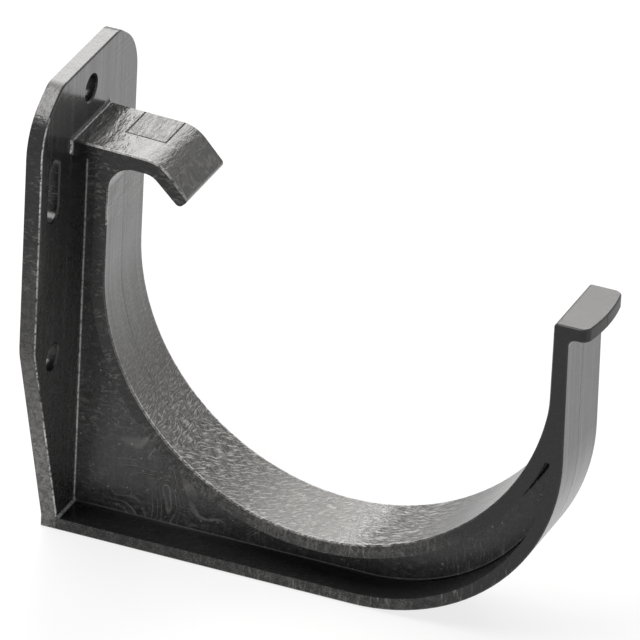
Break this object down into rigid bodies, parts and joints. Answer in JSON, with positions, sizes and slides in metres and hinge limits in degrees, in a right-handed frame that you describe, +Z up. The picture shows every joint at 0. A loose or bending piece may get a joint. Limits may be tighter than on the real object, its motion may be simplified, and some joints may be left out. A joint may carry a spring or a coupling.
{
  "type": "gutter bracket",
  "caption": "Moulded bracket for a half-round gutter: wall plate with screw holes, ribbed curved seat, hooked arm over the back edge and a front upright with a small lip.",
  "frame": {"origin": "on the wall face of the plate, at the middle of its bottom edge", "axes": "+X out from the wall, Y along the gutter, +Z up"},
  "size_m": [0.1352, 0.0546, 0.1205],
  "materials": {
    "black_plastic": "semi-gloss black, as moulded"
  },
  "bodies": {
    "root": {"gutter_bracket": "black_plastic"}
  },
  "joints": []
}
